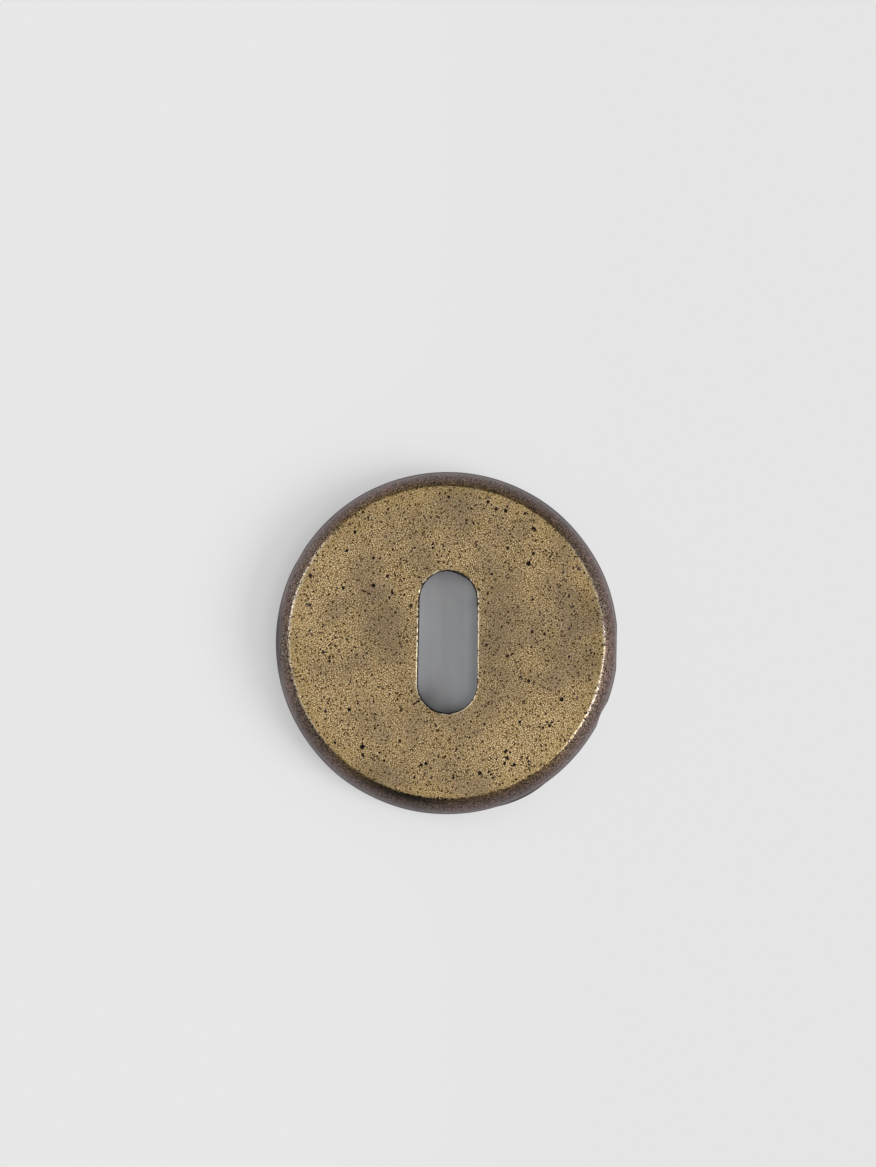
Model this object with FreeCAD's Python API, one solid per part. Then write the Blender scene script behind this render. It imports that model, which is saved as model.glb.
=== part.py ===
"""Round cast bronze keyhole escutcheon, a one-piece plate that dresses the keyhole of a door, cupboard or drawer.

The frame's origin is the centre of the back, +Z points out of the door, and +Y is up the door along the keyhole.
The plate is one casting. Its front is ground flat, its rim is a rounded shoulder over a drafted wall, and its back is
cored out, leaving a foot ring, a collar round the keyhole and two tapped bosses for screws that come from behind.
All sizes are in millimetres and all angles in degrees.
"""

import FreeCAD
import Part
import math
import os

from FreeCAD import Placement, Rotation, Vector

# Outside form
foot_diameter = 50.0  # across the foot's corner, before it is dressed off
overall_height = 8.0  # from the door to the ground face
rim_width = 2.05  # from the foot's corner in to where the shoulder meets the ground face
wall_draft = 3.0  # lean of the side wall, so the pattern leaves the sand
shoulder_tilt = 35.0  # how far the shoulder has already turned down where the ground face cuts it
face_edge_round = 0.3  # worn edge between the face and the shoulder
foot_chamfer = 0.35  # dressed off all round, where the mould's halves part

# Keyhole, hand-filed: a little wider at its lower end and leaning a little from upright
keyhole_length = 21.0
keyhole_upper_width = 8.6
keyhole_lower_width = 8.9
keyhole_lean = 0.7  # its top leans towards +X
keyhole_edge_round = 0.25  # worn edge where the keyhole meets the face

# Cored back
face_plate_thickness = 3.5
foot_ring_width = 3.0
collar_wall = 2.2  # metal round the keyhole, down to the door
core_draft = 3.0
core_corner = 0.8  # bevel of the inside corners under the face plate, as the core box is cut

# Tapped bosses for M4 screws from behind
boss_centres = 30.0
boss_diameter = 7.0
tapping_diameter = 3.3
metal_over_drill = 1.5  # left between the drill's point and the ground face
drill_point_angle = 118.0
tapped_mouth_chamfer = 0.4

# Dressing marks on the side wall: a half-round file leaves a hollow, a flat file leaves a flat.
# Angles are counted from +X towards +Y, and depths are taken at the foot.
deep_hollow_angle = -24.6
deep_hollow_depth = 0.3
deep_hollow_radius = 5.5
broad_hollow_angle = 150.0
broad_hollow_depth = 0.2
broad_hollow_radius = 26.0
upright_flat_angle = -1.0
upright_flat_depth = 0.17
leaning_flat_angle = 177.5
leaning_flat_lean = 7.3  # leans in more than the wall does, and starts at the foot's full radius

CLEAR = 1.0  # how far a cutter runs past the metal that it cuts
IN_PLANE = 1e-6  # how near counts as lying in a plane
UP = Vector(0, 0, 1)

foot_radius = foot_diameter / 2
face_radius = foot_radius - rim_width
core_depth = overall_height - face_plate_thickness


def at_angle(radius, degrees, height=0.0):
    """A point at that radius and angle round the Z axis."""
    turn = math.radians(degrees)
    return Vector(radius * math.cos(turn), radius * math.sin(turn), height)


def in_section(radius, height):
    """A point of the plate's section, which is drawn in the XZ plane."""
    return Vector(radius, 0, height)


def arc_between(centre, radius, start_tilt, end_tilt):
    """An arc in the section. A tilt is how far the surface's normal has turned down from upright."""
    tilts = (start_tilt, (start_tilt + end_tilt) / 2, end_tilt)
    points = [
        centre + Vector(math.sin(math.radians(t)), 0, math.cos(math.radians(t))) * radius
        for t in tilts
    ]
    return Part.Arc(*points).toShape()


def end_of(edge):
    return edge.valueAt(edge.LastParameter)


def start_of(edge):
    return edge.valueAt(edge.FirstParameter)


def plate_blank():
    """The outside form, all round: face, worn edge, rounded shoulder, drafted wall and foot."""
    draft = math.radians(wall_draft)
    wall_tilt = 90.0 - wall_draft

    # The shoulder is tangent to the wall and has turned down by shoulder_tilt where it meets the face.
    # Its radius follows from those two conditions, with the wall's line through the foot's outer corner.
    rise = math.cos(math.radians(shoulder_tilt)) - math.sin(draft)
    reach = math.cos(draft) - math.sin(math.radians(shoulder_tilt))
    shoulder_radius = (rim_width - overall_height * math.tan(draft)) / (
        reach - rise * math.tan(draft)
    )
    shoulder_centre = in_section(
        face_radius - shoulder_radius * math.sin(math.radians(shoulder_tilt)),
        overall_height - shoulder_radius * math.cos(math.radians(shoulder_tilt)),
    )

    # The worn edge is tangent to the face and, from inside, to the shoulder.
    edge_height = overall_height - face_edge_round
    lift = edge_height - shoulder_centre.z
    span = shoulder_radius - face_edge_round
    edge_centre = in_section(shoulder_centre.x + math.sqrt(span**2 - lift**2), edge_height)
    edge_tilt = math.degrees(math.acos(lift / span))

    wall_foot = in_section(foot_radius - foot_chamfer * math.tan(draft), foot_chamfer)
    door_edge = in_section(foot_radius - foot_chamfer, 0)
    edge_arc = arc_between(edge_centre, face_edge_round, 0.0, edge_tilt)
    shoulder_arc = arc_between(shoulder_centre, shoulder_radius, edge_tilt, wall_tilt)
    top_centre = in_section(0, overall_height)
    back_centre = in_section(0, 0)
    section = Part.Wire(
        [
            Part.makeLine(top_centre, start_of(edge_arc)),
            edge_arc,
            shoulder_arc,
            Part.makeLine(end_of(shoulder_arc), wall_foot),
            Part.makeLine(wall_foot, door_edge),
            Part.makeLine(door_edge, back_centre),
            Part.makeLine(back_centre, top_centre),
        ]
    )
    return Part.Face(section).revolve(Vector(0, 0, 0), UP, 360)


def filed_hollow(angle, depth, radius):
    """The metal that a round file takes from the side wall."""
    axis_point = at_angle(foot_radius + radius - depth, angle, -CLEAR)
    return Part.makeCylinder(radius, overall_height + 2 * CLEAR, axis_point, UP)


def filed_flat(angle, depth, lean):
    """The metal that a flat file takes from the side wall, leaning in by so many degrees."""
    width = foot_diameter
    thickness = foot_radius
    height = 2 * (overall_height + CLEAR)
    block = Part.makeBox(thickness, width, height, Vector(0, -width / 2, -height / 2))
    block.Placement = Placement(Vector(0, 0, 0), Rotation(Vector(0, 1, 0), -lean))
    block.Placement = Placement(at_angle(foot_radius - depth, angle), Rotation(UP, angle)) * block.Placement
    return block


def keyhole_outline(growth, height):
    """The keyhole's wire, made larger all round by growth: two round ends joined by their common tangents."""
    upper_radius = keyhole_upper_width / 2
    lower_radius = keyhole_lower_width / 2
    upper_centre = Vector(0, keyhole_length / 2 - upper_radius, height)
    lower_centre = Vector(0, -keyhole_length / 2 + lower_radius, height)
    apart = (upper_centre - lower_centre).Length
    side_turn = math.degrees(math.asin((lower_radius - upper_radius) / apart))

    def end_point(centre, radius, degrees):
        turn = math.radians(degrees)
        return centre + Vector(math.cos(turn), math.sin(turn), 0) * (radius + growth)

    upper = [end_point(upper_centre, upper_radius, a) for a in (side_turn, 90, 180 - side_turn)]
    lower = [end_point(lower_centre, lower_radius, a) for a in (180 - side_turn, 270, 360 + side_turn)]
    outline = Part.Wire(
        [
            Part.Arc(*upper).toShape(),
            Part.makeLine(upper[2], lower[0]),
            Part.Arc(*lower).toShape(),
            Part.makeLine(lower[2], upper[0]),
        ]
    )
    outline.rotate(Vector(0, 0, 0), UP, -keyhole_lean)
    return outline


def keyhole_prism(growth, low, high):
    face = Part.Face(keyhole_outline(growth, low))
    return face.extrude(Vector(0, 0, high - low))


def drafted_collar():
    """The collar that the core leaves round the keyhole. It widens towards the face plate, as the sand needs."""
    widening = core_depth * math.tan(math.radians(core_draft))
    foot = keyhole_outline(collar_wall, 0.0)
    root = keyhole_outline(collar_wall + widening, core_depth)
    return Part.makeLoft([foot, root], True, True)


def boss_places():
    return [Vector(side * boss_centres / 2, 0, 0) for side in (-1, 1)]


def drafted_boss(place):
    widening = core_depth * math.tan(math.radians(core_draft))
    return Part.makeCone(boss_diameter / 2, boss_diameter / 2 + widening, core_depth, place, UP)


def core():
    """The sand core that hollows the back, with its corners bevelled."""
    mouth_radius = foot_radius - foot_ring_width
    narrowing = core_depth * math.tan(math.radians(core_draft))
    body = Part.makeCone(mouth_radius, mouth_radius - narrowing, core_depth)
    for solid in [drafted_collar()] + [drafted_boss(place) for place in boss_places()]:
        body = body.cut(solid)
    corners = [e for e in body.Edges if e.BoundBox.ZMin > core_depth - IN_PLANE]
    body = body.makeChamfer(core_corner, corners)
    mouth = Part.Face(Part.Wire(Part.makeCircle(mouth_radius)))
    for hole in [keyhole_outline(collar_wall, 0.0)] + [
        Part.Wire(Part.makeCircle(boss_diameter / 2, place)) for place in boss_places()
    ]:
        mouth = mouth.cut(Part.Face(hole))
    return body.fuse(mouth.extrude(Vector(0, 0, -CLEAR)))


def tapped_hole(place):
    """A drilled hole with its point and the chamfer that starts the tap. The thread itself isn't drawn."""
    radius = tapping_diameter / 2
    tip = overall_height - metal_over_drill
    point = radius / math.tan(math.radians(drill_point_angle / 2))
    mouth = radius + tapped_mouth_chamfer
    section = Part.makePolygon(
        [
            in_section(0, -CLEAR),
            in_section(mouth, -CLEAR),
            in_section(mouth, 0),
            in_section(radius, tapped_mouth_chamfer),
            in_section(radius, tip - point),
            in_section(0, tip),
            in_section(0, -CLEAR),
        ]
    )
    drill = Part.Face(section).revolve(Vector(0, 0, 0), UP, 360)
    drill.translate(place)
    return drill


def keyhole_mouth(plate):
    """The keyhole's edges on the ground face, which is the plate's highest face."""
    face = max(plate.Faces, key=lambda f: f.CenterOfMass.z)
    return [e for wire in face.Wires if not wire.isSame(face.OuterWire) for e in wire.Edges]


def escutcheon():
    plate = plate_blank()
    dressing = [
        filed_hollow(deep_hollow_angle, deep_hollow_depth, deep_hollow_radius),
        filed_hollow(broad_hollow_angle, broad_hollow_depth, broad_hollow_radius),
        filed_flat(upright_flat_angle, upright_flat_depth, wall_draft),
        filed_flat(leaning_flat_angle, 0.0, leaning_flat_lean),
    ]
    for cutter in dressing:
        plate = plate.cut(cutter)
    plate = plate.cut(core())
    plate = plate.cut(keyhole_prism(0.0, -CLEAR, overall_height + CLEAR))

    plate = plate.makeFillet(keyhole_edge_round, keyhole_mouth(plate))
    for place in boss_places():
        plate = plate.cut(tapped_hole(place))
    return plate.removeSplitter()


def main():
    os.makedirs("parts", exist_ok=True)
    plate = escutcheon()
    solid = plate.Solids[0]
    print("solids", len(plate.Solids), "valid", plate.isValid(), "volume mm3", round(solid.Volume, 1))
    print("box", solid.optimalBoundingBox())
    solid.exportStep("parts/escutcheon.step")


main()
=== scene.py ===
"""A round cast bronze keyhole plate, lying face up on a pale floor and seen from straight above.

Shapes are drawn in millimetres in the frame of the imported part, with its origin at the centre of
the back and +Z out of the door, and are brought to metres when they are finished. Angles are
counted from +X towards +Y, and the marks' angles are in degrees.
"""

import bmesh
import bpy
import math
import random

from mathutils import Matrix, Vector, noise
from mathutils.kdtree import KDTree


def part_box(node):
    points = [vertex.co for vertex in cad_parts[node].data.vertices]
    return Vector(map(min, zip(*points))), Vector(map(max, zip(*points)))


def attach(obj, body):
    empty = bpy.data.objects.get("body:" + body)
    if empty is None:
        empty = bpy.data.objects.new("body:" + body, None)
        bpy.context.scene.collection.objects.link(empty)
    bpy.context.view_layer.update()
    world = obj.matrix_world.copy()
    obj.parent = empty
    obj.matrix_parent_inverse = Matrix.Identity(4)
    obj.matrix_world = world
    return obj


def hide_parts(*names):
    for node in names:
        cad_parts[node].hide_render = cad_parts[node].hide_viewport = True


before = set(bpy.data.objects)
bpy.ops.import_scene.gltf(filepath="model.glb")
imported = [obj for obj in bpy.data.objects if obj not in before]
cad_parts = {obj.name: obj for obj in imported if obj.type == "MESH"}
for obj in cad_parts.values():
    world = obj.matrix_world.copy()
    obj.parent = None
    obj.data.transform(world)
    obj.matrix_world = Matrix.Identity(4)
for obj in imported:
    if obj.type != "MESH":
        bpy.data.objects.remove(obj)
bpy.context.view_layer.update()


# The outside of the casting: a drafted side wall that rolls over into a round shoulder, as the
# sand mould left it. The front was then ground flat, so the face cuts the shoulder off short, and
# the cut edge has worn a little. The back is cored out, and the outside ends inside its foot ring.

MM = 0.001  # a millimetre, in metres
plate_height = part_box("escutcheon")[1].z / MM
foot_radius = 25.0
rim_width = 2.05  # from the foot's corner in to where the shoulder meets the face
wall_draft = math.radians(3.0)
shoulder_tilt = math.radians(35.0)  # how far the shoulder has turned down where the face cuts it
face_edge_round = 0.3
foot_chamfer = 0.35
foot_ring_width = 3.0
core_draft = math.radians(3.0)
core_corner = 0.8  # bevel of the core's inside corners
core_depth = 4.5
face_strip = 0.6  # the face's outermost strip is drawn with the rim
around = 360  # steps round the plate
same_place = 0.001  # vertices nearer each other than this become one

face_radius = foot_radius - rim_width
core_radius = foot_radius - foot_ring_width
core_narrowing = math.tan(core_draft)
bevel_height = core_depth - core_corner
shoulder_radius = (rim_width - plate_height * math.tan(wall_draft)) / (
    math.cos(wall_draft)
    - math.sin(shoulder_tilt)
    - (math.cos(shoulder_tilt) - math.sin(wall_draft)) * math.tan(wall_draft)
)
shoulder_centre = Vector(
    (
        face_radius - shoulder_radius * math.sin(shoulder_tilt),
        0.0,
        plate_height - shoulder_radius * math.cos(shoulder_tilt),
    )
)
edge_lift = plate_height - face_edge_round - shoulder_centre.z
edge_span = shoulder_radius - face_edge_round
edge_tilt = math.acos(edge_lift / edge_span)
edge_centre = Vector(
    (shoulder_centre.x + edge_span * math.sin(edge_tilt), 0.0, plate_height - face_edge_round)
)


class Pen:
    """Draws half a section in the XZ plane, one line or arc after another."""

    def __init__(self, x, z):
        self.shape = bmesh.new()
        self.tip = self.shape.verts.new((x, 0.0, z))

    def line(self, x, z, steps=1):
        start = self.tip.co.copy()
        for step in range(steps):
            self.tip = bmesh.ops.extrude_vert_indiv(self.shape, verts=[self.tip])["verts"][0]
            self.tip.co = start.lerp(Vector((x, 0.0, z)), (step + 1) / steps)

    def arc(self, centre, turn, steps):
        spun = bmesh.ops.spin(
            self.shape, geom=[self.tip], cent=centre, axis=(0, 1, 0), angle=turn, steps=steps
        )
        self.tip = [part for part in spun["geom_last"] if isinstance(part, bmesh.types.BMVert)][0]


def turned(pen, steps):
    """Spins a drawn section all the way round the Z axis."""
    shape = pen.shape
    bmesh.ops.spin(
        shape,
        geom=shape.verts[:] + shape.edges[:],
        cent=(0, 0, 0),
        axis=(0, 0, 1),
        angle=math.tau,
        steps=steps,
        use_merge=True,
    )
    bmesh.ops.remove_doubles(shape, verts=shape.verts, dist=same_place)
    return shape


def add_to(whole, piece):
    """Moves a finished stretch of surface into the whole shape."""
    passing = bpy.data.meshes.new("passing")
    piece.to_mesh(passing)
    piece.free()
    whole.from_mesh(passing)
    bpy.data.meshes.remove(passing)


outside = Pen(face_radius - face_strip, plate_height)
outside.line(edge_centre.x, plate_height, steps=6)
outside.arc(edge_centre, edge_tilt, steps=4)
outside.arc(shoulder_centre, math.radians(90) - wall_draft - edge_tilt, steps=14)
outside.line(foot_radius - foot_chamfer * math.tan(wall_draft), foot_chamfer, steps=8)
outside.line(foot_radius - foot_chamfer, 0.0, steps=2)
outside.line(core_radius, 0.0, steps=3)
outside.line(core_radius - bevel_height * core_narrowing, bevel_height, steps=2)
outside.line(core_radius - bevel_height * core_narrowing - core_corner, core_depth, steps=2)
plate = turned(outside, around)


# The rim was dressed by hand: a round file left two hollows in the wall and a flat one left two
# flats. Between them the casting is only nearly round, its edge is worn at the left and right, and
# a thin fin is left at the foot where the mould's halves met.

DEEP_HOLLOW = {"angle": -24.6, "depth": 0.3, "radius": 5.5}
BROAD_HOLLOW = {"angle": 150.0, "depth": 0.2, "radius": 26.0}
UPRIGHT_FLAT = {"angle": -1.0, "depth": 0.17, "lean": 3.0}
LEANING_FLAT = {"angle": 177.5, "depth": 0.0, "lean": 7.3}
RIGHT_WEAR = {"angle": -10.0, "half_length": 43.0, "depth": 0.048, "tilt": 22.0}
LEFT_WEAR = {"angle": 172.0, "half_length": 38.0, "depth": 0.060, "tilt": 22.0}
FLASH = {"angle": -64.0, "half_length": 9.0, "depth": 0.34, "height": 0.8}
wear_uneven = 0.5  # the wear's unevenness, as a share of its depth
wear_fineness = 1.3  # the larger, the shorter its steps
out_of_round = 0.05
swell_fineness = 0.12
swell_inwards = 0.5  # holds the uneven wall mostly inside the round one
face_smaller = 0.174  # all round
face_wider = 0.155  # across, and as much narrower upright
face_higher = 0.13
face_leftwards = 0.01
face_aslant = 0.044
foot_shift = Vector((0.05, -0.07, 0.0))
shift_width = 1.5  # the shift grows over this much of the rim
rim_strip = 0.5  # how far past an edge a mark still takes hold


def outwards(degrees):
    return Vector((math.cos(math.radians(degrees)), math.sin(math.radians(degrees)), 0.0))


def file_hollow(shape, mark):
    """Pushes the wall in to the path of a round file that ran straight down it."""
    way = outwards(mark["angle"])
    axis = way * (foot_radius + mark["radius"] - mark["depth"])
    for vert in shape.verts:
        from_axis = Vector((vert.co.x, vert.co.y, 0.0)) - axis
        if from_axis.length < mark["radius"]:
            pushed = axis + from_axis.normalized() * mark["radius"]
            vert.co.x, vert.co.y = pushed.x, pushed.y


def file_flat(shape, mark):
    """Pushes the wall in to a leaning plane."""
    way = outwards(mark["angle"])
    lean = math.radians(mark["lean"])
    normal = way * math.cos(lean) + Vector((0.0, 0.0, math.sin(lean)))
    start = way * (foot_radius - mark["depth"])
    for vert in shape.verts:
        proud = (vert.co - start).dot(normal)
        if proud > 0:
            vert.co -= way * (proud / math.cos(lean))


def leave_uneven(shape, amount, shift):
    """Moves the wall and shoulder in and out and aside a little, as a sand casting's are."""
    for vert in shape.verts:
        radius = math.hypot(vert.co.x, vert.co.y)
        if radius > face_radius and vert.co.z > 0:
            swell = noise.noise(Vector((vert.co.x, vert.co.y, vert.co.z)) * swell_fineness)
            vert.co.xy *= 1 + amount * (swell - swell_inwards) / radius
            vert.co += shift * min(1.0, (radius - face_radius) / shift_width)


def shape_face(shape):
    """Lets the face run wider across, up, to the left and aslant, where the wheel took more."""
    for vert in shape.verts:
        height = (vert.co.z - shoulder_centre.z) / (plate_height - shoulder_centre.z)
        if height > 0 and vert.co.xy.length > core_radius:
            angle = math.atan2(vert.co.y, vert.co.x)
            more = face_wider * math.cos(2 * angle) - face_aslant * math.sin(2 * angle)
            more += (
                face_higher * math.sin(angle) - face_leftwards * math.cos(angle) - face_smaller
            )
            vert.co.xy *= 1 + height * more / face_radius


def leave_flash(shape, flash):
    """Draws the foot out to a thin fin, as metal does that ran between the mould's halves."""
    for vert in shape.verts:
        angle = math.degrees(math.atan2(vert.co.y, vert.co.x)) - flash["angle"]
        off = abs((angle + 180) % 360 - 180) / flash["half_length"]
        at_foot = vert.co.z < flash["height"] and vert.co.xy.length > foot_radius - rim_strip
        if off < 1 and at_foot:
            drawn = flash["depth"] * (1 - off**2) * (1 - vert.co.z / flash["height"])
            vert.co += outwards(flash["angle"]) * drawn


def wear_edge(shape, wear):
    """Rubs the face's edge down to a narrow sloping band of uneven width, over part of the rim."""
    slope = math.tan(math.radians(wear["tilt"]))
    for vert in shape.verts:
        angle = math.degrees(math.atan2(vert.co.y, vert.co.x)) - wear["angle"]
        off = abs((angle + 180) % 360 - 180) / wear["half_length"]
        radius = vert.co.xy.length
        if off < 1 and radius < face_radius + rim_strip:
            unevenness = 1 + wear_uneven * noise.noise(vert.co * wear_fineness)
            worn = wear["depth"] * (1 - off**3) * unevenness
            vert.co.z = min(vert.co.z, plate_height - worn + (face_radius - radius) * slope)


wear_edge(plate, RIGHT_WEAR)
wear_edge(plate, LEFT_WEAR)
shape_face(plate)
leave_uneven(plate, out_of_round, foot_shift)
file_hollow(plate, DEEP_HOLLOW)
file_hollow(plate, BROAD_HOLLOW)
file_flat(plate, UPRIGHT_FLAT)
file_flat(plate, LEANING_FLAT)
leave_flash(plate, FLASH)


# The keyhole was filed out by hand to two round ends, a little wider at the lower one and a
# little off upright. A collar in the core carries its wall down to the door.

keyhole_length = 20.78
keyhole_upper_radius = 4.25
keyhole_lower_radius = 4.38
keyhole_lean = math.radians(0.7)
keyhole_edge_round = 0.15
keyhole_taper = 0.06  # how much narrower the file left it at the door than at the face
keyhole_slant = Vector((0.06, 0.0, 0.0))  # how far the wall leans aside from the face to the door
lean_speed = 1.6  # by 1 / lean_speed of the way down it has leaned all it does
keyhole_shift = Vector((0.15, 0.11, 0.0))
# The wall leans in more at its upper right.
OVERHANGS = [
    {"angle": 66.0, "half_length": 27.0, "depth": 0.19},
    {"angle": 20.0, "half_length": 52.0, "depth": 0.10},
]
lip_width = 0.06  # the mouth's edge is rubbed to a bright lip
lip_tilt = math.radians(25.0)
collar_wall = 2.2
mouth_strip = 0.5  # the face's strip round the mouth is drawn with the keyhole
end_steps = 96
side_steps = (around - 2 * end_steps) // 2

upper_middle = keyhole_length / 2 - keyhole_upper_radius
lower_middle = keyhole_lower_radius - keyhole_length / 2
edge_at = keyhole_upper_radius + keyhole_edge_round
collar_at = keyhole_upper_radius + collar_wall
collar_root = collar_at + bevel_height * core_narrowing

lip_round = (keyhole_edge_round - lip_width) / (1 - math.sin(lip_tilt))
lip_end = plate_height - lip_width * math.tan(lip_tilt)
lip_centre = Vector(
    (keyhole_upper_radius + lip_round, 0.0, lip_end - lip_round * math.cos(lip_tilt))
)

lining = Pen(edge_at + mouth_strip, plate_height)
lining.line(edge_at, plate_height, steps=2)
lining.line(edge_at - lip_width, lip_end, steps=2)
lining.arc(lip_centre, lip_tilt - math.pi / 2, steps=4)
lining.line(keyhole_upper_radius - keyhole_taper, 0.0, steps=4)
lining.line(collar_at, 0.0, steps=2)
lining.line(collar_root, bevel_height, steps=2)
lining.line(collar_root + core_corner, core_depth, steps=1)


def swept_round_keyhole(pen):
    """Carries a drawn section round one end, down a side, round the other end and back up."""
    shape = pen.shape
    bmesh.ops.translate(shape, verts=shape.verts, vec=(0, upper_middle, 0))
    section = shape.verts[:] + shape.edges[:]
    spread = keyhole_upper_radius - keyhole_lower_radius
    drop = lower_middle - upper_middle
    ends = (
        (upper_middle, Vector((spread, drop, 0))),
        (lower_middle, Vector((spread, -drop, 0))),
    )
    for middle, along_side in ends:
        spun = bmesh.ops.spin(
            shape, geom=section, cent=(0, middle, 0), axis=(0, 0, 1), angle=math.pi, steps=end_steps
        )
        rims = [part for part in spun["geom_last"] if isinstance(part, bmesh.types.BMEdge)]
        drawn = bmesh.ops.extrude_edge_only(shape, edges=rims)["geom"]
        moved = {part for part in drawn if isinstance(part, bmesh.types.BMVert)}
        bmesh.ops.translate(shape, verts=list(moved), vec=along_side)
        section = list(moved) + [edge for edge in shape.edges if moved.issuperset(edge.verts)]
    bmesh.ops.remove_doubles(shape, verts=shape.verts, dist=same_place)
    sides = [edge for edge in shape.edges if edge.calc_length() > abs(drop) / 2]
    bmesh.ops.subdivide_edges(shape, edges=sides, cuts=side_steps - 1, use_grid_fill=True)
    turn = Matrix.Rotation(-keyhole_lean, 3, "Z")
    bmesh.ops.rotate(shape, verts=shape.verts, cent=(0, 0, 0), matrix=turn)
    return shape


def lean_walls(shape):
    """Moves the keyhole to its place, and lets its wall lean as the file left it."""
    for vert in shape.verts:
        from_end = vert.co.xy - Vector((0.0, upper_middle))
        angle = math.degrees(math.atan2(from_end.y, from_end.x))
        aside = keyhole_slant.copy()
        for overhang in OVERHANGS:
            off = abs((angle - overhang["angle"] + 180) % 360 - 180) / overhang["half_length"]
            if off < 1 and from_end.length < edge_at:
                aside -= outwards(overhang["angle"]) * overhang["depth"] * (1 - off**2)
        vert.co += keyhole_shift + aside * min(1.0, lean_speed * (1 - vert.co.z / plate_height))


keyhole_shape = swept_round_keyhole(lining)
lean_walls(keyhole_shape)
add_to(plate, keyhole_shape)


# Two bosses stand in the core, one on each side of the collar. They were drilled and tapped from
# behind, so the plate is held by screws that don't show.

boss_centres = 30.0
boss_radius = 3.5
drilled_radius = 1.65
thread_radius = 2.0
thread_pitch = 0.7
thread_turns = 7
# Where in one turn the thread's groove is reached, left and ended, as shares of the pitch
groove_reached, groove_left, groove_ended = 0.45, 0.55, 0.95
mouth_chamfer = 0.4
drill_tip = 6.5
drill_half_angle = math.radians(59)
boss_steps = 64

boss_root = boss_radius + bevel_height * core_narrowing
drill_point = drilled_radius / math.tan(drill_half_angle)

for side in (-1, 1):
    boss = Pen(boss_root + core_corner, core_depth)
    boss.line(boss_root, bevel_height)
    boss.line(boss_radius, 0.0, steps=3)
    boss.line(drilled_radius + mouth_chamfer, 0.0, steps=1)
    boss.line(drilled_radius, mouth_chamfer, steps=1)
    for turn in range(thread_turns):
        turn_start = mouth_chamfer + turn * thread_pitch
        boss.line(thread_radius, turn_start + thread_pitch * groove_reached)
        boss.line(thread_radius, turn_start + thread_pitch * groove_left)
        boss.line(drilled_radius, turn_start + thread_pitch * groove_ended)
    boss.line(drilled_radius, drill_tip - drill_point)
    boss.line(0.0, drill_tip)
    boss_shape = turned(boss, boss_steps)
    boss_place = (side * boss_centres / 2, 0, 0)
    bmesh.ops.translate(boss_shape, verts=boss_shape.verts, vec=boss_place)
    add_to(plate, boss_shape)


# The core's flat floor joins the ring, the collar and the bosses at the back, and the ground face
# joins the rim to the keyhole at the front.

face_rings = 46
in_plane = 1e-4  # how near a height counts as lying in a plane
raised = 5.0
mouth_within = face_radius - 2  # the mouth's edge is nearer the origin than this


def open_edges(shape, height):
    return [
        edge
        for edge in shape.edges
        if edge.is_boundary and all(abs(vert.co.z - height) < in_plane for vert in edge.verts)
    ]


def lift(shape, verts, rise):
    bmesh.ops.translate(shape, verts=verts, vec=(0, 0, rise))


bmesh.ops.triangle_fill(plate, use_beauty=True, edges=open_edges(plate, core_depth))

# The two loops of the face lie in one plane, where bridging can't tell which way round they run,
# so the inner one is lifted while they are joined.
face_loops = open_edges(plate, plate_height)
edge_verts = {vert for edge in face_loops for vert in edge.verts}
mouth = [vert for vert in edge_verts if vert.co.length_squared < mouth_within**2]
lift(plate, mouth, raised)
spokes = bmesh.ops.bridge_loops(plate, edges=face_loops)["edges"]
lift(plate, mouth, -raised)
bmesh.ops.subdivide_edges(plate, edges=spokes, cuts=face_rings - 1, use_grid_fill=True)
bmesh.ops.recalc_face_normals(plate, faces=plate.faces)


# Gas and sand left pits in the casting, which grinding opened. The largest are listed where they
# lie on the real plate, and the rest are strewn at random. Each is a place across the face
# and a radius.

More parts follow.
